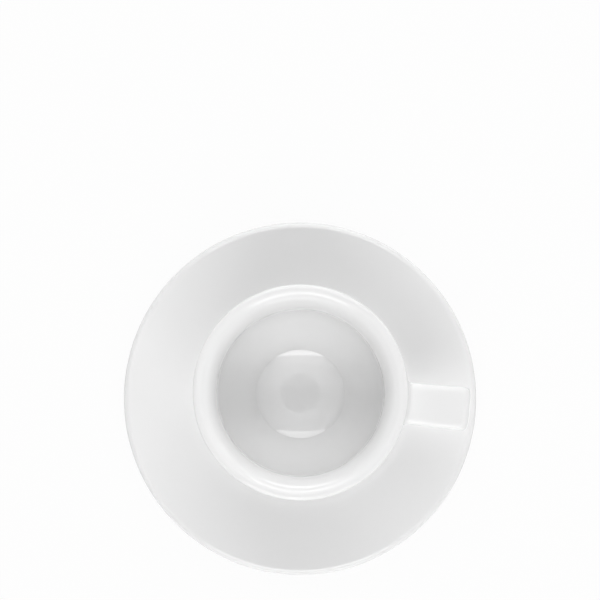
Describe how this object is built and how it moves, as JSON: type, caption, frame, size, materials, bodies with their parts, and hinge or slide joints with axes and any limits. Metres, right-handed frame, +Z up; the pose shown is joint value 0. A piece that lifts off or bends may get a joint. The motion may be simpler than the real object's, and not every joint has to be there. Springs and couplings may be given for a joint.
{
  "type": "espresso cup with saucer",
  "caption": "White glazed espresso cup with a strap handle, standing in the recess of a shallow round saucer with a foot ring. The cup lifts off.",
  "frame": {"origin": "middle of the saucer's foot ring, on the table", "axes": "+Z up along the saucer's axis, +X along the cup's handle"},
  "size_m": [0.12, 0.12, 0.0591],
  "materials": {
    "white_glaze": "gloss"
  },
  "bodies": {
    "saucer": {"saucer": "white_glaze"},
    "cup": {"cup_body": "white_glaze", "cup_handle": "white_glaze"}
  },
  "joints": [
    {"name": "cup_lift", "type": "slide", "parent": "saucer", "child": "cup", "axis": [0, 0, 1], "range_m": [0, 0.08]}
  ]
}
